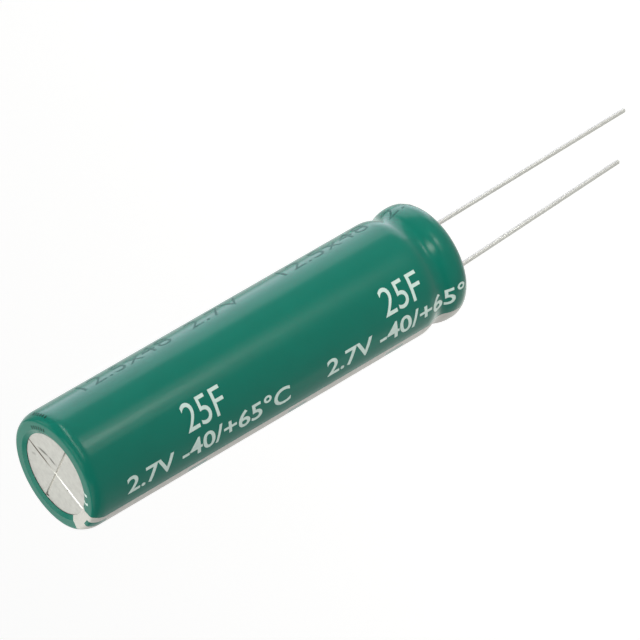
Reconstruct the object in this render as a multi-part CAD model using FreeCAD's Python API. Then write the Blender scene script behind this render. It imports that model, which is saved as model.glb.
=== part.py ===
import FreeCAD, Part
import math
import os

# Can: a drawn aluminium cup, curled over and beaded at its open end, with a sunk panel in its closed end
CAN_DIAMETER = 12.5
CAN_HEIGHT = 48.29
CAN_WALL = 0.3
CAN_END_WALL = 0.45
CAN_INSIDE_CORNER = 0.5
CORNER_SHOULDER = 2.2
CORNER_SHOULDER_TURN = 33.0
CORNER_EDGE = 0.3
VENT_PANEL_INSET = 1.55
VENT_PANEL_SLOPE = 0.2
VENT_PANEL_RECESS = 0.17
CURL_RADIUS = 1.6
CURL_TURN = 140.0
CURL_TO_BEAD = 0.295
BEAD_DEPTH = 0.37
BEAD_ROLLER = 2.2
BEAD_SHOULDER = 3.05

# Cross scored into the panel, where the can opens under pressure
SCORE_WIDTH = 0.2
SCORE_DEPTH = 0.12
SCORE_MARGIN = 0.1
SCORE_DIRECTIONS = (0.0, 90.0)

# Sleeve shrunk round the can, drawn in over both ends and thin at its edge on the panel
SLEEVE_WALL = 0.1
SLEEVE_VENT_EDGE = 0.05
SLEEVE_PANEL_OVERLAP = 0.28
SLEEVE_LEAD_LIP = 0.35
SLEEVE_EDGE_CHAMFER = 0.05

# Rubber seal, squeezed by the bead and held by the curl's edge, which bites into it
SEAL_BITE_TURN = 10.0
SEAL_BAND = 0.35
SEAL_CHAMFER = 0.4

# Lead wires, both bent just below the seat and leaning a few degrees to the positive side
LEAD_PITCH = 5.0
LEAD_DIAMETER = 0.5
LEAD_BEND_DEPTH = 0.6
LEAD_BEND_RADIUS = 8.0
LEAD_TIP_CHAMFER = 0.08
POSITIVE_LEAD_LENGTH = 28.8
POSITIVE_LEAD_LEAN = 1.15
NEGATIVE_LEAD_LENGTH = 24.3
NEGATIVE_LEAD_LEAN = 2.76

# Terminal tabs: a neck welded to the wire, a round stem in the seal, a flat blade in the winding
NECK_DIAMETER = 0.7
NECK_LENGTH = 0.4
NECK_ABOVE_SEAL_FACE = 1.2
STEM_DIAMETER = 1.5
STEM_ABOVE_SEAL = 0.5
TAPER_LENGTH = 1.2
BLADE_WIDTH = 2.2
BLADE_THICKNESS = 0.3
BLADE_FREE_LENGTH = 0.7
BLADE_WOUND_LENGTH = 26.0
BLADE_CLEARANCE = 0.05

# Wound element against the closed end, with its holding tape
ELEMENT_CLEARANCE = 0.2
ELEMENT_CORE_DIAMETER = 2.0
ELEMENT_END_CHAMFER = 0.4
TAPE_WALL = 0.1
TAPE_MARGIN = 5.0

# Directions and turns
ORIGIN = FreeCAD.Vector(0, 0, 0)
UP = FreeCAD.Vector(0, 0, 1)
ALONG_PITCH = FreeCAD.Vector(1, 0, 0)
ACROSS_PITCH = FreeCAD.Vector(0, 1, 0)
QUARTER_TURN = 90.0
HALF_TURN = 180.0
FULL_TURN = 360.0
POSITIVE_SIDE = 1
NEGATIVE_SIDE = -1

# Radii, and heights above the seat plane under the sleeve, that several pieces share
can_radius = CAN_DIAMETER / 2
can_top = SLEEVE_WALL + CAN_HEIGHT
vent_face = can_top - VENT_PANEL_RECESS
panel_radius = can_radius - VENT_PANEL_INSET
rim_radius = panel_radius + VENT_PANEL_SLOPE
vent_opening_radius = panel_radius - SLEEVE_PANEL_OVERLAP
curl_centre = FreeCAD.Vector(can_radius - CURL_RADIUS, 0, SLEEVE_WALL + CURL_RADIUS)
bead_roll_sum = BEAD_ROLLER + BEAD_SHOULDER
bead_slope = math.acos(1 - BEAD_DEPTH / bead_roll_sum)
bead_half_width = bead_roll_sum * math.sin(bead_slope)
bead_height = curl_centre.z + CURL_TO_BEAD + bead_half_width
seal_turn = CURL_TURN - SEAL_BITE_TURN
seal_face = curl_centre.z - CURL_RADIUS * math.sin(math.radians(seal_turn))
seal_top = bead_height + bead_half_width + SEAL_BAND + SEAL_CHAMFER
weld_height = seal_face + NECK_ABOVE_SEAL_FACE
stem_bottom = weld_height + NECK_LENGTH
stem_top = seal_top + STEM_ABOVE_SEAL
blade_bottom = stem_top + TAPER_LENGTH
element_bottom = blade_bottom + BLADE_FREE_LENGTH
element_top = vent_face - CAN_END_WALL
element_radius = can_radius - CAN_WALL - ELEMENT_CLEARANCE - TAPE_WALL
blade_top = element_bottom + BLADE_WOUND_LENGTH


def at(radius, height):
    """A point of a profile, drawn in the plane of the leads."""
    return FreeCAD.Vector(radius, 0, height)


def straight(start, end):
    """A straight run of a profile or a path."""
    return (start, None, end)


def arc(centre, radius, first_angle, last_angle):
    """A round run, given by its start, middle and end points."""
    angles = (first_angle, (first_angle + last_angle) / 2, last_angle)
    turns = [math.radians(angle) for angle in angles]
    return tuple(centre + at(radius * math.cos(turn), radius * math.sin(turn)) for turn in turns)


def backwards(runs):
    return [(end, middle, start) for start, middle, end in reversed(runs)]


def edge(run):
    start, middle, end = run
    curve = Part.Arc(start, middle, end) if middle else Part.LineSegment(start, end)
    return curve.toShape()


def closed(runs):
    """The runs in order, with a straight run wherever one ends apart from the next."""
    whole = []
    for run, following in zip(runs, runs[1:] + runs[:1]):
        whole.append(run)
        if not run[2].isEqual(following[0], Part.Precision.confusion()):
            whole.append(straight(run[2], following[0]))
    return whole


def turned(runs):
    """The solid that a profile sweeps round the can's axis."""
    profile = Part.Face(Part.Wire([edge(run) for run in closed(runs)]))
    return profile.revolve(ORIGIN, UP, FULL_TURN)


def curl(depth, turn):
    """The rolled rim, a depth below the can's outside, from its edge up to the wall."""
    return arc(curl_centre, CURL_RADIUS - depth, -turn, 0)


def bead(depth):
    """The rolled groove, a depth below the can's outside, from bottom to top."""
    slope = math.degrees(bead_slope)
    lower_shoulder = at(can_radius - BEAD_SHOULDER, bead_height - bead_half_width)
    upper_shoulder = at(can_radius - BEAD_SHOULDER, bead_height + bead_half_width)
    valley = at(can_radius - BEAD_DEPTH + BEAD_ROLLER, bead_height)
    return [
        arc(lower_shoulder, BEAD_SHOULDER - depth, 0, slope),
        arc(valley, BEAD_ROLLER + depth, HALF_TURN + slope, HALF_TURN - slope),
        arc(upper_shoulder, BEAD_SHOULDER - depth, -slope, 0),
    ]


def vent_corner(depth, foot):
    """The closed end, a depth below the can's outside: slow shoulder, tight edge, rim and slope."""
    turn = math.radians(CORNER_SHOULDER_TURN)
    edge_to_shoulder = at(math.cos(turn), math.sin(turn)) * (CORNER_SHOULDER - CORNER_EDGE)
    shoulder_height = can_top - CORNER_EDGE - edge_to_shoulder.z
    shoulder_centre = at(can_radius - CORNER_SHOULDER, shoulder_height)
    shoulder = arc(shoulder_centre, CORNER_SHOULDER - depth, 0, CORNER_SHOULDER_TURN)
    tight_edge = arc(
        shoulder_centre + edge_to_shoulder, CORNER_EDGE - depth, CORNER_SHOULDER_TURN, QUARTER_TURN
    )
    rim = at(rim_radius, can_top - depth)
    return [shoulder, tight_edge, straight(tight_edge[2], rim), straight(rim, foot)]


def inside_corner():
    """The round corner inside the closed end, from the wall to the flat."""
    centre = at(can_radius - CAN_WALL - CAN_INSIDE_CORNER, element_top - CAN_INSIDE_CORNER)
    return arc(centre, CAN_INSIDE_CORNER, 0, QUARTER_TURN)


def score_cutter(direction):
    """A long vee across the bare part of the closed end."""
    length = 2 * (vent_opening_radius - SCORE_MARGIN)
    corners = [at(SCORE_WIDTH / 2, 0), at(0, -SCORE_DEPTH), at(-SCORE_WIDTH / 2, 0)]
    vee = Part.Face(Part.makePolygon(corners + corners[:1]))
    cutter = vee.extrude(ACROSS_PITCH * length)
    cutter.translate(ACROSS_PITCH * (-length / 2))
    cutter.rotate(ORIGIN, UP, direction)
    cutter.translate(UP * vent_face)
    return cutter


def make_can():
    outside = [curl(0, CURL_TURN), *bead(0), *vent_corner(0, at(panel_radius, vent_face))]
    middle_of_end = straight(at(0, vent_face), at(0, element_top))
    inside = [curl(CAN_WALL, CURL_TURN), *bead(CAN_WALL), inside_corner()]
    can = turned([*outside, middle_of_end, *backwards(inside)])
    return can.cut([score_cutter(direction) for direction in SCORE_DIRECTIONS])


def make_sleeve():
    lead_opening_radius = curl_centre.x - SLEEVE_LEAD_LIP
    lead_edge = [
        straight(at(lead_opening_radius, SLEEVE_WALL), at(lead_opening_radius, SLEEVE_EDGE_CHAMFER)),
        straight(at(lead_opening_radius + SLEEVE_EDGE_CHAMFER, 0), at(curl_centre.x, 0)),
    ]
    vent_edge_top = at(vent_opening_radius, vent_face + SLEEVE_VENT_EDGE)
    vent_edge = straight(vent_edge_top, at(vent_opening_radius, vent_face))
    outside = [
        curl(-SLEEVE_WALL, QUARTER_TURN),
        *bead(-SLEEVE_WALL),
        *vent_corner(-SLEEVE_WALL, vent_edge_top),
    ]
    inside = [curl(0, QUARTER_TURN), *bead(0), *vent_corner(0, at(panel_radius, vent_face))]
    return turned([*lead_edge, *outside, vent_edge, *backwards(inside)])


def lead_axis(side):
    """Where a lead goes through the seal, from the middle of the part."""
    return ALONG_PITCH * (side * LEAD_PITCH / 2)


def make_lead(side, length, lean):
    """A wire: straight out of the seal, one small bend, then straight to its tip."""
    radius = LEAD_DIAMETER / 2
    turn = math.radians(lean)
    bend_start = lead_axis(side) - UP * LEAD_BEND_DEPTH
    bend_centre = bend_start + ALONG_PITCH * LEAD_BEND_RADIUS
    bend_end = bend_centre - at(math.cos(turn), math.sin(turn)) * LEAD_BEND_RADIUS
    outwards = at(math.sin(turn), -math.cos(turn))
    last_length = length - LEAD_BEND_DEPTH - LEAD_BEND_RADIUS * turn
    tip = bend_end + outwards * last_length
    first_run = Part.makeCylinder(radius, LEAD_BEND_DEPTH + weld_height, bend_start, UP)
    section = Part.Face(Part.Wire(Part.makeCircle(radius, bend_start, UP)))
    bend = section.revolve(bend_centre, -ACROSS_PITCH, lean)
    last_run = Part.makeCylinder(radius, last_length, bend_end, outwards)
    tip_edge = min(last_run.Edges, key=lambda each: each.CenterOfMass.distanceToPoint(tip))
    last_run = last_run.makeChamfer(LEAD_TIP_CHAMFER, [tip_edge])
    return first_run.fuse([bend, last_run])


def make_stem(side):
    """The part of a terminal that the seal grips: the neck at the weld and the round stem."""
    neck_radius = NECK_DIAMETER / 2
    stem_radius = STEM_DIAMETER / 2
    outside = [
        straight(at(neck_radius, weld_height), at(stem_radius, stem_bottom)),
        straight(at(stem_radius, stem_bottom), at(stem_radius, stem_top)),
    ]
    stem = turned([*outside, straight(at(0, stem_top), at(0, weld_height))])
    stem.translate(lead_axis(side))
    return stem


def pressed_bar(side, bottom, top):
    """A round bar pressed flat, from one height, width and thickness to another."""
    bottom_height, bottom_width, bottom_thickness = bottom
    top_height, top_width, top_thickness = top
    outside = straight(at(bottom_width / 2, bottom_height), at(top_width / 2, top_height))
    bar = turned([outside, straight(at(0, top_height), at(0, bottom_height))])
    corners = [
        at(-bottom_thickness / 2, bottom_height),
        at(bottom_thickness / 2, bottom_height),
        at(top_thickness / 2, top_height),
        at(-top_thickness / 2, top_height),
    ]
    reach = ACROSS_PITCH * max(bottom_width, top_width)
    slab = Part.Face(Part.makePolygon(corners + corners[:1])).extrude(reach * 2)
    slab.translate(-reach)
    pressed = bar.common(slab)
    pressed.translate(lead_axis(side))
    return pressed


def make_blade(side, clearance, bottom, top):
    width = BLADE_WIDTH + 2 * clearance
    thickness = BLADE_THICKNESS + 2 * clearance
    return pressed_bar(side, (bottom, width, thickness), (top, width, thickness))


def make_tab(side):
    round_end = (stem_top, STEM_DIAMETER, STEM_DIAMETER)
    flat_end = (blade_bottom, BLADE_WIDTH, BLADE_THICKNESS)
    taper = pressed_bar(side, round_end, flat_end)
    return make_stem(side).fuse([taper, make_blade(side, 0, blade_bottom, blade_top)])


def make_seal():
    inner_radius = can_radius - CAN_WALL
    bite = arc(curl_centre, CURL_RADIUS, -seal_turn, -CURL_TURN)
    chamfer = straight(at(inner_radius, seal_top - SEAL_CHAMFER), at(inner_radius - SEAL_CHAMFER, seal_top))
    axis = straight(at(0, seal_top), at(0, seal_face))
    seal = turned([bite, curl(CAN_WALL, CURL_TURN), *bead(CAN_WALL), chamfer, axis])
    for side in (POSITIVE_SIDE, NEGATIVE_SIDE):
        wire_hole = Part.makeCylinder(LEAD_DIAMETER / 2, weld_height, lead_axis(side), UP)
        seal = seal.cut([wire_hole, make_stem(side)])
    return seal


def make_element():
    core_radius = ELEMENT_CORE_DIAMETER / 2
    end_radius = element_radius - ELEMENT_END_CHAMFER
    wall_bottom = at(element_radius, element_bottom + ELEMENT_END_CHAMFER)
    wall_top = at(element_radius, element_top - ELEMENT_END_CHAMFER)
    roll = turned([
        straight(at(core_radius, element_bottom), at(end_radius, element_bottom)),
        straight(wall_bottom, wall_top),
        straight(at(end_radius, element_top), at(core_radius, element_top)),
    ])
    slot_top = blade_top + BLADE_CLEARANCE
    slots = [
        make_blade(side, BLADE_CLEARANCE, element_bottom, slot_top)
        for side in (POSITIVE_SIDE, NEGATIVE_SIDE)
    ]
    return roll.cut(slots)


def make_tape():
    bottom = UP * (element_bottom + TAPE_MARGIN)
    height = element_top - element_bottom - 2 * TAPE_MARGIN
    outside = Part.makeCylinder(element_radius + TAPE_WALL, height, bottom, UP)
    inside = Part.makeCylinder(element_radius, height, bottom, UP)
    return outside.cut(inside)


pieces = {
    "can": make_can(),
    "sleeve": make_sleeve(),
    "end_seal": make_seal(),
    "positive_lead": make_lead(POSITIVE_SIDE, POSITIVE_LEAD_LENGTH, POSITIVE_LEAD_LEAN),
    "negative_lead": make_lead(NEGATIVE_SIDE, NEGATIVE_LEAD_LENGTH, NEGATIVE_LEAD_LEAN),
    "positive_tab": make_tab(POSITIVE_SIDE),
    "negative_tab": make_tab(NEGATIVE_SIDE),
    "wound_element": make_element(),
    "element_tape": make_tape(),
}

os.makedirs("parts", exist_ok=True)
for name, shape in pieces.items():
    (solid,) = shape.removeSplitter().Solids
    solid.exportStep(f"parts/{name}.step")
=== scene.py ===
import bisect
import math

import bmesh
import bpy
from mathutils import Matrix, Vector


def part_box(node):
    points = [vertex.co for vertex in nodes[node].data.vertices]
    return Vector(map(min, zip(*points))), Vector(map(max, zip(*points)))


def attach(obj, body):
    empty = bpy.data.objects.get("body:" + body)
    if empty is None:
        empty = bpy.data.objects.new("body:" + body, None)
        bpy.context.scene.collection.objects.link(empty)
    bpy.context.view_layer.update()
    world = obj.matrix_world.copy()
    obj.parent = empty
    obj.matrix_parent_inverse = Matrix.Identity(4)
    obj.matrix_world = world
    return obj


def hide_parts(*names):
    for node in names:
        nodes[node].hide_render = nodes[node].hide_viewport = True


MM = 0.001

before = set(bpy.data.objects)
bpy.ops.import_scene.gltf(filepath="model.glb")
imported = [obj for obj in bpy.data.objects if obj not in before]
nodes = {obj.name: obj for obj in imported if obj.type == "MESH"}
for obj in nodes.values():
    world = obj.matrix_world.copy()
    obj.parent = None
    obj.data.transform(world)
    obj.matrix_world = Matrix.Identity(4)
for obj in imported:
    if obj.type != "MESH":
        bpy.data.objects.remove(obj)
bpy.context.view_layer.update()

# Film of the sleeve, over the can: the wall, the curl, the bead, the corner and the sunk vent panel
FILM_WALL = 0.1 * MM
FILM_EDGE_ROUND = 0.05 * MM
CURL_RADIUS = 1.6 * MM
CURL_TO_BEAD = 0.295 * MM
BEAD_DEPTH = 0.37 * MM
BEAD_ROLLER = 2.2 * MM
BEAD_SHOULDER = 3.05 * MM
CORNER_SHOULDER = 2.2 * MM
CORNER_SHOULDER_TURN = math.radians(33.0)
CORNER_EDGE = 0.3 * MM
PANEL_INSET = 1.55 * MM
PANEL_SLOPE = 0.2 * MM
PANEL_RECESS = 0.17 * MM
PANEL_OVERLAP = 0.28 * MM
VENT_EDGE = 0.05 * MM
LEAD_LIP = 0.35 * MM

# How finely the film is divided: along round runs, along straight runs and round the can
ROUND_STEP = math.radians(4.0)
STRAIGHT_STEP = 1.0 * MM
COLUMN_STEP = 2
FILM_CREASE = math.radians(15.0)

# Print on the film, in degrees round the can and in lengths along it
PRINT_REPEAT = 25.27 * MM
PRINT_COPIES = (-1, 0, 1)
PRINT_PROUD = 0.012 * MM
PRINT_SUNK = 0.004 * MM
PRINT_CELL = 0.2 * MM
PRINT_CREASE = math.radians(40)
STRIPE_COLUMNS = (148, 184)
STRIPE_SPREAD = 3.0
STRIPE_SPREAD_RUN = 1.2 * MM
MINUS_COLUMNS = (168, 178)
MINUS_LENGTH = 2.3 * MM
MINUS_START = 5.55 * MM
MINUS_SPACING = PRINT_REPEAT / 2
MINUS_COUNT = 4
TICK_COUNT = 6
TICK_LENGTH = 0.36 * MM
TICK_WIDTH = 0.18 * MM

# Camera, as the photograph sees the part: degrees round and above it, and turned about its own view
CAMERA_AIM = 14.69 * MM
CAMERA_DISTANCE = 604.3 * MM
CAMERA_AZIMUTH = -107.0
CAMERA_ELEVATION = 28.49
CAMERA_ROLL = -120.2
CAMERA_LENS = 343.42

# Scores and marks on the vent face: middle, turn, half length and half width in mm, strength and colour.
# The score along x is painted dark on its +x half as painted shade and near-white on its -x half as a
# painted highlight, and the near-white spot at the end of the cross score is a painted glint.
MARK_DEPTH = 1000.0
# Painted shade: the dark colour of one half of the score along x
SCORE_PAINTED_SHADE = (0.07, 0.06, 0.05)
PALE_SCORE = (0.68, 0.67, 0.63)
SMUDGE = (0.14, 0.14, 0.13)
SPECK = (0.05, 0.045, 0.04)
# Painted highlight: near-white along the -x half of the score and as a glint at the end of the cross
# score
PAINTED_HIGHLIGHT = (0.95, 0.95, 0.93)
VENT_MARKS = (
    ((2.75, 0.0), 0.0, (3.0, 0.16), 1.0, SCORE_PAINTED_SHADE),
    ((0.0, 0.0), 90.0, (6.0, 0.14), 1.0, PALE_SCORE),
    ((-2.6, 0.0), 0.0, (3.0, 0.14), 1.0, PAINTED_HIGHLIGHT),
    ((2.33, -0.8), 18.4, (0.95, 0.2), 1.0, SMUDGE),
    ((0.98, -1.07), 1.9, (0.7, 0.17), 1.0, SMUDGE),
    ((3.2, 1.0), 40.0, (0.45, 0.2), 0.4, SMUDGE),
    ((-0.2, 4.1), 0.0, (0.26, 0.24), 1.0, SPECK),
    ((-0.25, 4.32), 0.0, (0.16, 0.12), 1.0, PAINTED_HIGHLIGHT),
    ((-2.0, 0.17), 20.0, (0.16, 0.09), 0.9, SPECK),
)

# Floor and world: how pale they are, and how bright the floor looks to the camera
FLOOR_DROP = 600 * MM
FLOOR_RADIUS = 20.0
FLOOR_SIDES = 96
FLOOR_COLOUR = (0.6, 0.6, 0.6, 1.0)
FLOOR_GLOW = 0.68
WORLD_STRENGTH = 0.38
WHITE = (1.0, 1.0, 1.0, 1.0)

# Lamp colours, and the watts for a unit of radiance over a unit of area
KEY_WHITE = (1.0, 1.0, 0.92)
SOFT_WHITE = (1.0, 1.0, 0.94)
BAND_WHITE = (1.0, 1.0, 0.95)
LOW_WHITE = (1.0, 1.0, 0.9)
COOL_WHITE = (0.85, 0.85, 1.0)
LAMP_WATTS = 4
FULL_SPREAD = 180.0

# Radii, and heights above the seat, that the film follows
sleeve_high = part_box("sleeve")[1]
can_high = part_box("can")[1]
film_radius = sleeve_high.x
can_radius = film_radius - FILM_WALL
can_top = can_high.z
shoulder_to_edge = CORNER_SHOULDER - CORNER_EDGE
body_end = can_top - CORNER_EDGE - shoulder_to_edge * math.sin(CORNER_SHOULDER_TURN)
vent_face = can_top - PANEL_RECESS
panel_radius = can_radius - PANEL_INSET
rim_radius = panel_radius + PANEL_SLOPE
vent_opening = panel_radius - PANEL_OVERLAP
curl_across = can_radius - CURL_RADIUS
curl_height = FILM_WALL + CURL_RADIUS
lead_opening = curl_across - LEAD_LIP
bead_slope = math.acos(1 - BEAD_DEPTH / (BEAD_ROLLER + BEAD_SHOULDER))
bead_half_width = (BEAD_ROLLER + BEAD_SHOULDER) * math.sin(bead_slope)
bead_height = curl_height + CURL_TO_BEAD + bead_half_width


def round_run(across, height, radius, first, last):
    """Points along an arc of a profile, each as a distance from the axis and a height."""
    steps = max(2, math.ceil(abs(last - first) / ROUND_STEP))
    turns = [first + (last - first) * step / steps for step in range(steps + 1)]
    return [(across + radius * math.cos(turn), height + radius * math.sin(turn)) for turn in turns]


def straight_run(start, end):
    steps = max(1, math.ceil(math.dist(start, end) / STRAIGHT_STEP))
    shares = [step / steps for step in range(steps + 1)]
    return [tuple(a + (b - a) * share for a, b in zip(start, end)) for share in shares]


def bead_runs(depth):
    """The rolled groove, a depth below the can's outside, from its lower to its upper shoulder."""
    across = can_radius - BEAD_SHOULDER
    valley = can_radius - BEAD_DEPTH + BEAD_ROLLER
    shoulder = BEAD_SHOULDER - depth
    return [
        *round_run(across, bead_height - bead_half_width, shoulder, 0, bead_slope),
        *round_run(valley, bead_height, BEAD_ROLLER + depth, math.pi + bead_slope, math.pi - bead_slope),
        *round_run(across, bead_height + bead_half_width, shoulder, -bead_slope, 0),
    ]


def vent_corner(depth, foot):
    """The vent end, a depth below the can's outside: shoulder, tight edge, rim and slope."""
    across = can_radius - CORNER_SHOULDER
    edge_across = across + shoulder_to_edge * math.cos(CORNER_SHOULDER_TURN)
    edge_height = can_top - CORNER_EDGE
    return [
        *round_run(across, body_end, CORNER_SHOULDER - depth, 0, CORNER_SHOULDER_TURN),
        *round_run(edge_across, edge_height, CORNER_EDGE - depth, CORNER_SHOULDER_TURN, math.pi / 2),
        (rim_radius, can_top - depth),
        foot,
    ]


def joined(runs):
    """One line of points from several runs, with straight stretches divided and no point twice."""
    line = [runs[0]]
    for point in runs[1:]:
        if math.dist(line[-1], point) > FILM_EDGE_ROUND / 100:
            line.extend(straight_run(line[-1], point)[1:])
    return line


def outside_line():
    """The film's outside, from its edge at the leads to its edge at the vent."""
    edge = FILM_EDGE_ROUND
    quarter = math.pi / 2
    return joined([
        *round_run(lead_opening + edge, edge, edge, -2 * quarter, -quarter),
        *round_run(curl_across, curl_height, CURL_RADIUS + FILM_WALL, -quarter, 0),
        *bead_runs(-FILM_WALL),
        *vent_corner(-FILM_WALL, (vent_opening, vent_face + VENT_EDGE)),
    ])


def inside_line():
    """The film's inside, against the can, from its edge at the vent to its edge at the leads."""
    quarter = math.pi / 2
    return joined([
        (vent_opening, vent_face),
        *reversed(vent_corner(0, (panel_radius, vent_face))),
        *reversed(bead_runs(0)),
        *round_run(curl_across, curl_height, CURL_RADIUS, 0, -quarter),
        (lead_opening, FILM_WALL),
    ])


def lengths_along(line):
    lengths = [0.0]
    for start, end in zip(line, line[1:]):
        lengths.append(lengths[-1] + math.dist(start, end))
    return lengths


film_line = outside_line()
film_lengths = lengths_along(film_line)


def film_point(length):
    """A place on the film's outside by its length along the profile, and which way is out there."""
    last = len(film_line) - 2
    index = min(max(bisect.bisect_right(film_lengths, length) - 1, 0), last)
    (across, height), (next_across, next_height) = film_line[index:index + 2]
    run = film_lengths[index + 1] - film_lengths[index]
    share = (length - film_lengths[index]) / run
    point = (across + (next_across - across) * share, height + (next_height - height) * share)
    return point, ((next_height - height) / run, (across - next_across) / run)


def length_at_height(height):
    """The length along the film's straight wall, above the bead, at a height."""
    return length_at_body_end - (body_end - height)


length_at_body_end = film_lengths[film_line.index(min(
    film_line, key=lambda point: math.dist(point, (film_radius, body_end))))]


def new_object(name, mesh):
    piece = bpy.data.objects.new(name, mesh)
    bpy.context.scene.collection.objects.link(piece)
    return piece


def mesh_from(shape, name):
    """A smooth-shaded mesh from a bmesh, with all its faces looking out."""
    bmesh.ops.recalc_face_normals(shape, faces=shape.faces)
    for face in shape.faces:
        face.smooth = True
    mesh = bpy.data.meshes.new(name)
    shape.to_mesh(mesh)
    shape.free()
    return mesh


def new_material(name):
    """A material with its node tree and its shader."""
    material = bpy.data.materials.new(name)
    material.use_nodes = True
    tree = material.node_tree
    shader = tree.nodes["Principled BSDF"]
    return material, tree, shader


def place_in_mm(tree):
    """The place on the object, in millimetres."""
    place = tree.nodes.new("ShaderNodeTexCoord").outputs["Object"]
    scaled = tree.nodes.new("ShaderNodeVectorMath")
    scaled.operation = "SCALE"
    tree.links.new(place, scaled.inputs[0])
    scaled.inputs["Scale"].default_value = 1 / MM
    return scaled.outputs["Vector"]


def stretched(tree, place, scales):
    """A place squeezed or drawn out along each axis."""
    scaled = tree.nodes.new("ShaderNodeVectorMath")
    scaled.operation = "MULTIPLY"
    tree.links.new(place, scaled.inputs[0])
    scaled.inputs[1].default_value = scales
    return scaled.outputs["Vector"]


def noise(tree, place, per_mm, detail=2.0, roughness=0.5):
    grain = tree.nodes.new("ShaderNodeTexNoise")
    tree.links.new(place, grain.inputs["Vector"])
    grain.inputs["Scale"].default_value = per_mm
    grain.inputs["Detail"].default_value = detail
    grain.inputs["Roughness"].default_value = roughness
    return grain.outputs["Fac"]


def ranged(tree, value, low, high, from_low=0.3, from_high=0.7):
    """A value spread from one range to another."""
    spread = tree.nodes.new("ShaderNodeMapRange")
    tree.links.new(value, spread.inputs["Value"])
    spread.inputs["From Min"].default_value = from_low
    spread.inputs["From Max"].default_value = from_high
    spread.inputs["To Min"].default_value = low
    spread.inputs["To Max"].default_value = high
    return spread.outputs["Result"]


def between(tree, share, first, second):
    """A colour between two others."""
    mix = tree.nodes.new("ShaderNodeMix")
    mix.data_type = "RGBA"
    tree.links.new(share, mix.inputs["Factor"])
    for socket, colour in ((mix.inputs[6], first), (mix.inputs[7], second)):
        if isinstance(colour, bpy.types.NodeSocket):
            tree.links.new(colour, socket)
        else:
            socket.default_value = (*colour, 1.0)
    return mix.outputs[2]


def bumped(tree, shader, height, depth_mm, strength=1.0):
    bump = tree.nodes.new("ShaderNodeBump")
    tree.links.new(height, bump.inputs["Height"])
    bump.inputs["Strength"].default_value = strength
    bump.inputs["Distance"].default_value = depth_mm * MM
    tree.links.new(bump.outputs["Normal"], shader.inputs["Normal"])


def film_material(name, pale, deep):
    """Shrunk film: a satin skin with a faint orange peel and cloudy colour."""
    material, tree, shader = new_material(name)
    place = place_in_mm(tree)
    cloud = ranged(tree, noise(tree, place, 0.25, 3.0), 0.0, 1.0)
    tree.links.new(between(tree, cloud, deep, pale), shader.inputs["Base Color"])
    scuff = noise(tree, stretched(tree, place, (1.0, 1.0, 0.3)), 1.0, 2.0)
    tree.links.new(ranged(tree, scuff, 0.18, 0.22), shader.inputs["Roughness"])
    shader.inputs["Specular IOR Level"].default_value = 0.15
    bumped(tree, shader, noise(tree, place, 2.2, 1.0), 0.004)
    return material


def ink_material(name, pale, deep, gloss=0.2):
    """Printed ink, a little uneven where it lies thin."""
    material, tree, shader = new_material(name)
    place = place_in_mm(tree)
    cover = ranged(tree, noise(tree, place, 3.0, 4.0, 0.7), 0.0, 1.0)
    tree.links.new(between(tree, cover, deep, pale), shader.inputs["Base Color"])
    tree.links.new(ranged(tree, cover, 0.42, 0.34, 0.0, 1.0), shader.inputs["Roughness"])
    shader.inputs["Specular IOR Level"].default_value = gloss
    bumped(tree, shader, noise(tree, place, 6.0), 0.002)
    return material


def mark(tree, place, centre, turn, reach, share):
    """A soft mark: a share of the whole inside an oval about a place, and nothing outside it."""
    oval = tree.nodes.new("ShaderNodeMapping")
    oval.vector_type = "TEXTURE"
    tree.links.new(place, oval.inputs["Vector"])
    oval.inputs["Location"].default_value = (*centre, 0.0)
    oval.inputs["Rotation"].default_value = (0.0, 0.0, math.radians(turn))
    oval.inputs["Scale"].default_value = (*reach, MARK_DEPTH)
    away = tree.nodes.new("ShaderNodeVectorMath")
    away.operation = "LENGTH"
    tree.links.new(oval.outputs["Vector"], away.inputs[0])
    return ranged(tree, away.outputs["Value"], share, 0.0, 0.5, 1.0)


def metal_material(name, pale, deep, edge, grain_scales, rough_low, rough_high, bump_mm, marks=()):
    """Bare metal with its drawn or rolled grain, a cloudy skin and the marks painted into its colour; on
    the can some of these marks are painted shade and painted highlights.
    """
    material, tree, shader = new_material(name)
    place = place_in_mm(tree)
    cloud = ranged(tree, noise(tree, place, 1.6, 5.0, 0.7), 0.0, 1.0)
    grain = noise(tree, stretched(tree, place, grain_scales), 1.0, 4.0, 0.6)
    colour = between(tree, cloud, deep, pale)
    for centre, turn, reach, share, mark_colour in marks:
        colour = between(tree, mark(tree, place, centre, turn, reach, share), colour, mark_colour)
    tree.links.new(colour, shader.inputs["Base Color"])
    shader.inputs["Metallic"].default_value = 1.0
    shader.inputs["Specular Tint"].default_value = (edge, edge, edge, 1.0)
    tree.links.new(ranged(tree, grain, rough_low, rough_high), shader.inputs["Roughness"])
    bumped(tree, shader, grain, bump_mm)
    return material


def rubber_material():
    material, tree, shader = new_material("rubber")
    place = place_in_mm(tree)
    dust = ranged(tree, noise(tree, place, 1.5, 5.0, 0.65), 0.0, 1.0, 0.4, 0.75)
    colour = between(tree, dust, (0.012, 0.012, 0.013), (0.03, 0.03, 0.031))
    tree.links.new(colour, shader.inputs["Base Color"])
    tree.links.new(ranged(tree, dust, 0.62, 0.8, 0.0, 1.0), shader.inputs["Roughness"])
    bumped(tree, shader, noise(tree, place, 12.0, 3.0), 0.01)
    return material


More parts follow.
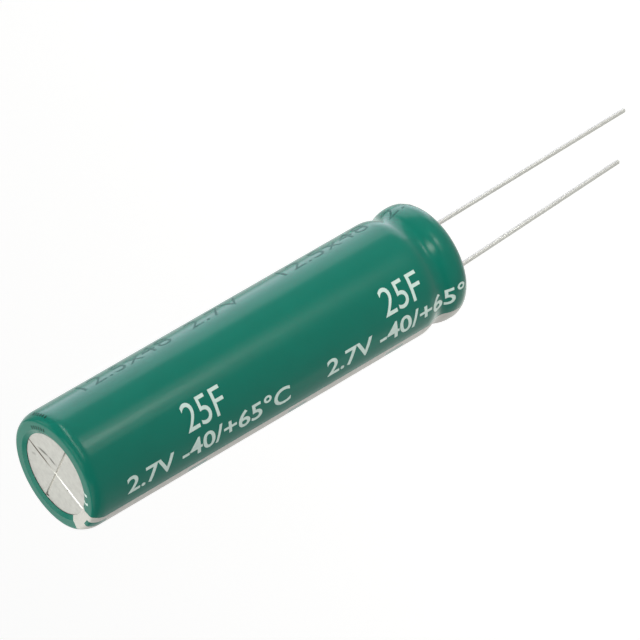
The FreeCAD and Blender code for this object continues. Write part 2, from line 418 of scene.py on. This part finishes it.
def winding_material():
    """The wound layers: rings on the ends and a pale paper wrap."""
    material, tree, shader = new_material("winding")
    place = place_in_mm(tree)
    rings = tree.nodes.new("ShaderNodeTexWave")
    rings.wave_type = "RINGS"
    rings.rings_direction = "Z"
    rings.inputs["Scale"].default_value = 0.9
    rings.inputs["Distortion"].default_value = 0.6
    tree.links.new(place, rings.inputs["Vector"])
    layers = rings.outputs["Fac"]
    colour = between(tree, layers, (0.035, 0.035, 0.037), (0.62, 0.6, 0.55))
    tree.links.new(colour, shader.inputs["Base Color"])
    tree.links.new(ranged(tree, noise(tree, place, 4.0), 0.6, 0.85), shader.inputs["Roughness"])
    bumped(tree, shader, layers, 0.03)
    return material


def tape_material():
    material, tree, shader = new_material("holding_tape")
    place = place_in_mm(tree)
    streak = ranged(tree, noise(tree, stretched(tree, place, (0.6, 0.6, 8.0)), 1.0, 3.0), 0.0, 1.0)
    colour = between(tree, streak, (0.36, 0.15, 0.025), (0.5, 0.24, 0.05))
    tree.links.new(colour, shader.inputs["Base Color"])
    tree.links.new(ranged(tree, streak, 0.3, 0.42, 0.0, 1.0), shader.inputs["Roughness"])
    bumped(tree, shader, streak, 0.006)
    return material


green_film = film_material("green_film", (0.002, 0.122, 0.088), (0.002, 0.114, 0.082))
# A near-black copy of the film for its cut edge at the vent: painted shade for the shadowed gap between
# the film and the disc, not the film's own colour.
film_edge_painted_shade = film_material("film_edge_painted_shade", (0.002, 0.012, 0.01), (0.002, 0.008, 0.007))
stripe_ink = ink_material("stripe_ink", (0.455, 0.45, 0.425), (0.42, 0.415, 0.39))
white_ink = ink_material("white_ink", (0.51, 0.62, 0.59), (0.44, 0.56, 0.53))
dark_ink = ink_material("dark_ink", (0.006, 0.07, 0.058), (0.008, 0.085, 0.07), 0.08)
tick_ink = ink_material("tick_ink", (0.002, 0.014, 0.011), (0.003, 0.03, 0.024), 0.04)


def in_minus(column, length):
    """Whether a cell of the film lies in one of the green minus marks of the stripe."""
    on_columns = MINUS_COLUMNS[0] <= column < MINUS_COLUMNS[1]
    return on_columns and any(start <= length < end for start, end in minus_spans)


def stripe_spread(length):
    """How far the stripe's edge turns on at a length along the film, over the corner."""
    share = (length - length_at_body_end) / STRIPE_SPREAD_RUN
    return math.radians(STRIPE_SPREAD) * min(max(share, 0.0), 1.0)


def make_sleeve():
    """The film as one closed skin: rows along its outside and its inside, turned round the can."""
    marks = [end for span in minus_spans for end in span]
    levels = sorted(set(film_lengths) | {mark for mark in marks if 0 < mark < film_lengths[-1]})
    outside = [film_point(length)[0] for length in levels]
    section = outside + inside_line()
    columns = sorted({*range(0, 360, COLUMN_STEP)} - {STRIPE_COLUMNS[1] + COLUMN_STEP})
    shape = bmesh.new()
    rings = []
    for row, (across, height) in enumerate(section):
        turns = [math.radians(column) for column in columns]
        if row < len(levels):
            turns[columns.index(STRIPE_COLUMNS[1])] += stripe_spread(levels[row])
        places = [(across * math.cos(turn), across * math.sin(turn), height) for turn in turns]
        rings.append([shape.verts.new(place) for place in places])
    for row, (ring, following) in enumerate(zip(rings, rings[1:] + rings[:1])):
        length = (levels[row] + levels[row + 1]) / 2 if row + 1 < len(levels) else None
        for index, column in enumerate(columns):
            after = (index + 1) % len(columns)
            face = shape.faces.new((ring[index], ring[after], following[after], following[index]))
            striped = length is not None and STRIPE_COLUMNS[0] <= column < STRIPE_COLUMNS[1]
            face.material_index = int(striped and not in_minus(column, length))
            # The faces of the film's cut edge at the vent take the near-black material: painted shade.
            if row + 1 == len(levels):
                face.material_index = 2
    sleeve = new_object("sleeve_film", mesh_from(shape, "sleeve_film"))
    sleeve.data.set_sharp_from_angle(angle=FILM_CREASE)
    sleeve.data.materials.append(green_film)
    sleeve.data.materials.append(stripe_ink)
    sleeve.data.materials.append(film_edge_painted_shade)
    return sleeve


minus_top = film_lengths[-1] - (MINUS_START - vent_opening)
minus_spans = [
    (minus_top - MINUS_LENGTH - MINUS_SPACING * count, minus_top - MINUS_SPACING * count)
    for count in range(MINUS_COUNT)
]
sleeve = make_sleeve()
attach(sleeve, "root")
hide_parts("sleeve")


def flat_words(words, height, width, weight):
    """Words as flat faces from the origin, of a height and a width, from a plain built-in letter."""
    curve = bpy.data.curves.new("words", "FONT")
    curve.body = words
    curve.offset = weight
    curve.resolution_u = 5
    text = new_object("words", curve)
    flat = bpy.data.meshes.new_from_object(text)
    bpy.data.objects.remove(text)
    shape = bmesh.new()
    shape.from_mesh(flat)
    bpy.data.meshes.remove(flat)
    lows = [min(vertex.co[axis] for vertex in shape.verts) for axis in range(2)]
    highs = [max(vertex.co[axis] for vertex in shape.verts) for axis in range(2)]
    scales = (width / (highs[0] - lows[0]), height / (highs[1] - lows[1]), 1.0)
    bmesh.ops.translate(shape, verts=shape.verts, vec=(-lows[0], -lows[1], 0.0))
    bmesh.ops.scale(shape, verts=shape.verts, vec=scales)
    bmesh.ops.remove_doubles(shape, verts=shape.verts, dist=PRINT_CELL / 200)
    return shape


def cut_across(shape, axis, place, **sides):
    """Cuts flat faces along a line at a place on one axis, and clears a side where one is named."""
    point = Vector()
    point[axis] = place
    normal = Vector()
    normal[axis] = 1.0
    everything = [*shape.verts, *shape.edges, *shape.faces]
    bmesh.ops.bisect_plane(shape, geom=everything, plane_co=point, plane_no=normal, **sides)


def add_print(shape, start_length, base_turn):
    """Lays flat print on the film, along it towards the leads."""
    cut_across(shape, 0, start_length, clear_outer=True)
    cut_across(shape, 0, start_length - film_lengths[-1], clear_inner=True)
    for axis in range(2):
        if not shape.verts:
            return
        low = min(vertex.co[axis] for vertex in shape.verts)
        high = max(vertex.co[axis] for vertex in shape.verts)
        for cut in range(1, math.ceil((high - low) / PRINT_CELL)):
            cut_across(shape, axis, low + cut * PRINT_CELL)
    raised = bmesh.ops.extrude_face_region(shape, geom=shape.faces[:])["geom"]
    tops = {item for item in raised if isinstance(item, bmesh.types.BMVert)}
    for vertex in shape.verts:
        (across, height), (out_across, out_height) = film_point(start_length - vertex.co.x)
        turn = base_turn + vertex.co.y / film_radius
        proud = PRINT_PROUD if vertex in tops else -PRINT_SUNK
        across += out_across * proud
        height += out_height * proud
        vertex.co = (across * math.cos(turn), across * math.sin(turn), height)


def make_print(
        name, material, words, start_height, base_degrees, height, width, weight,
        copies=PRINT_COPIES):
    """One line of print, repeated along the film and cut off at the film's edges."""
    whole = bmesh.new()
    for copy in copies:
        shape = flat_words(words, height, width, weight)
        start_length = length_at_height(start_height) - copy * PRINT_REPEAT
        add_print(shape, start_length, math.radians(base_degrees))
        part = bpy.data.meshes.new("part")
        shape.to_mesh(part)
        shape.free()
        whole.from_mesh(part)
        bpy.data.meshes.remove(part)
    finish_print(name, material, whole)


def finish_print(name, material, shape):
    piece = new_object(name, mesh_from(shape, name))
    piece.data.set_sharp_from_angle(angle=PRINT_CREASE)
    piece.data.materials.append(material)
    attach(piece, "root")


def make_ticks(name, material, start_length, base_degrees, spacing):
    """A row of short ticks round the film, each of them along it."""
    shape = bmesh.new()
    for index in range(TICK_COUNT):
        low = index * spacing
        high = low + TICK_WIDTH
        corners = ((0.0, low), (TICK_LENGTH, low), (TICK_LENGTH, high), (0.0, high))
        shape.faces.new([shape.verts.new((*corner, 0.0)) for corner in corners])
    add_print(shape, start_length, math.radians(base_degrees))
    finish_print(name, material, shape)


make_print(
    "rating_print", white_ink, "25F", start_height=36.4 * MM, base_degrees=223.3,
    height=3.0 * MM, width=4.9 * MM, weight=0.0)
make_print(
    "range_print", white_ink, "2.7V -40/+65°C", start_height=44.4 * MM, base_degrees=197.5,
    height=2.1 * MM, width=20.5 * MM, weight=0.014)
make_print(
    "size_print", dark_ink, "12.5x48  2.7V", start_height=42.55 * MM, base_degrees=312.5,
    height=2.0 * MM, width=20.0 * MM, weight=-0.012,
    copies=(0, 1))
make_ticks("vent_ticks", tick_ink, film_lengths[-1] - 0.62 * MM, base_degrees=306.0, spacing=0.5 * MM)
make_ticks("corner_ticks", tick_ink, length_at_body_end + 0.9 * MM, base_degrees=309.0, spacing=0.42 * MM)

can_metal = metal_material(
    "can_aluminium", (0.44, 0.44, 0.42), (0.36, 0.36, 0.345), edge=0.75, grain_scales=(1.5, 9.0, 3.0),
    rough_low=0.3, rough_high=0.48, bump_mm=0.002, marks=VENT_MARKS)
lead_metal = metal_material(
    "tinned_wire", (0.49, 0.49, 0.465), (0.46, 0.46, 0.44), edge=0.35, grain_scales=(2.0, 2.0, 0.3),
    rough_low=0.54, rough_high=0.62, bump_mm=0.0006)
tab_metal = metal_material(
    "tab_aluminium", (0.8, 0.8, 0.79), (0.68, 0.68, 0.68), edge=0.9, grain_scales=(9.0, 9.0, 0.8),
    rough_low=0.3, rough_high=0.45, bump_mm=0.004)
finishes = {
    "can": can_metal,
    "end_seal": rubber_material(),
    "positive_lead": lead_metal,
    "negative_lead": lead_metal,
    "positive_tab": tab_metal,
    "negative_tab": tab_metal,
    "wound_element": winding_material(),
    "element_tape": tape_material(),
}
for name, material in finishes.items():
    nodes[name].data.materials.clear()
    nodes[name].data.materials.append(material)

# Camera
azimuth = math.radians(CAMERA_AZIMUTH)
elevation = math.radians(CAMERA_ELEVATION)
aim = Vector((0.0, 0.0, CAMERA_AIM))
level = math.cos(elevation)
back = Vector((math.cos(azimuth) * level, math.sin(azimuth) * level, math.sin(elevation)))
roll_turn = Matrix.Rotation(math.radians(CAMERA_ROLL), 3, "Z")
turned_view = (-back).to_track_quat("-Z", "Y").to_matrix() @ roll_turn
camera = bpy.data.objects.new("camera", bpy.data.cameras.new("camera"))
bpy.context.scene.collection.objects.link(camera)
camera.matrix_world = Matrix.Translation(aim + back * CAMERA_DISTANCE) @ turned_view.to_4x4()
camera.data.lens = CAMERA_LENS
camera.data.clip_start = CAMERA_DISTANCE / 10
camera.data.clip_end = 2 * FLOOR_RADIUS
bpy.context.scene.camera = camera


def add_lamp(
        name, turn, rise, distance, size, radiance, colour,
        height=CAMERA_AIM, roll=0.0, spread=FULL_SPREAD):
    """A soft lamp some degrees round and above a height on the part's axis, which it faces."""
    away = Vector((1.0, 0.0, 0.0))
    away.rotate(Matrix.Rotation(math.radians(-rise), 3, "Y"))
    away.rotate(Matrix.Rotation(math.radians(turn), 3, "Z"))
    lamp = bpy.data.objects.new(name, bpy.data.lights.new(name, "AREA"))
    bpy.context.scene.collection.objects.link(lamp)
    lamp.data.shape = "RECTANGLE"
    lamp.data.size, lamp.data.size_y = size
    lamp.data.spread = math.radians(spread)
    half_beam = math.radians(spread) / 2
    beam_share = 1 - half_beam / math.tan(half_beam) if spread < FULL_SPREAD else 1.0
    lamp.data.energy = LAMP_WATTS * radiance * size[0] * size[1] * beam_share
    lamp.data.color = colour
    lamp.visible_camera = False
    facing = away.to_track_quat("Z", "Y").to_matrix() @ Matrix.Rotation(math.radians(roll), 3, "Z")
    place = Vector((0.0, 0.0, height)) + away * distance
    lamp.matrix_world = Matrix.Translation(place) @ facing.to_4x4()


# Lamps: degrees round and above the part, distance and size in metres, radiance and colour
add_lamp("key_lamp", -93, 13.5, 0.8, (0.4, 0.075), 8.5, KEY_WHITE, roll=-5)
add_lamp("corner_lamp", -56, 15.5, 0.16, (0.12, 0.013), 12.0, KEY_WHITE, roll=-22)
add_lamp("lip_lamp", -94, 8, 0.156, (0.07, 0.042), 17.0, KEY_WHITE, height=3.2 * MM, spread=22)
add_lamp("band_lamp", -90, -20, 0.6, (0.1, 0.07), 11.0, BAND_WHITE)
add_lamp("band_halo", -90.5, -21, 0.6, (0.36, 0.11), 2.6, BAND_WHITE)
add_lamp("top_lamp", 0, -35, 0.6, (0.55, 0.68), 2.2, COOL_WHITE)
add_lamp("left_lamp", 0, 32, 0.8, (0.5, 0.4), 1.5, SOFT_WHITE)
add_lamp("front_lamp", -88, 52, 0.8, (0.8, 0.45), 2.1, SOFT_WHITE)
add_lamp("end_lamp", 73, 68, 0.8, (0.66, 0.6), 1.9, SOFT_WHITE)
add_lamp("back_lamp", 73, 28, 0.8, (0.7, 0.7), 0.85, BAND_WHITE)
add_lamp("rear_lamp", 175, 40, 0.8, (0.7, 0.5), 1.1, KEY_WHITE)
add_lamp("low_lamp", 135, -42, 0.6, (0.7, 0.25), 0.7, LOW_WHITE)


def make_floor():
    shape = bmesh.new()
    bmesh.ops.create_circle(shape, cap_ends=True, segments=FLOOR_SIDES, radius=FLOOR_RADIUS)
    bmesh.ops.translate(shape, verts=shape.verts, vec=(0.0, 0.0, -FLOOR_DROP))
    floor = new_object("floor", mesh_from(shape, "floor"))
    material, tree, shader = new_material("floor")
    shader.inputs["Base Color"].default_value = FLOOR_COLOUR
    shader.inputs["Roughness"].default_value = 0.9
    shader.inputs["Specular IOR Level"].default_value = 0.0
    shader.inputs["Emission Color"].default_value = WHITE
    light_path = tree.nodes.new("ShaderNodeLightPath")
    seen = light_path.outputs["Is Camera Ray"]
    for kind in ("Is Glossy Ray", "Is Transmission Ray"):
        either = tree.nodes.new("ShaderNodeMath")
        either.operation = "MAXIMUM"
        tree.links.new(seen, either.inputs[0])
        tree.links.new(light_path.outputs[kind], either.inputs[1])
        seen = either.outputs["Value"]
    glow = tree.nodes.new("ShaderNodeMath")
    glow.operation = "MULTIPLY"
    tree.links.new(seen, glow.inputs[0])
    glow.inputs[1].default_value = FLOOR_GLOW
    tree.links.new(glow.outputs["Value"], shader.inputs["Emission Strength"])
    floor.data.materials.append(material)


make_floor()
world = bpy.data.worlds.new("studio")
world.use_nodes = True
background = world.node_tree.nodes["Background"]
background.inputs["Color"].default_value = WHITE
background.inputs["Strength"].default_value = WORLD_STRENGTH
bpy.context.scene.world = world
bpy.context.scene.view_settings.view_transform = "Standard"
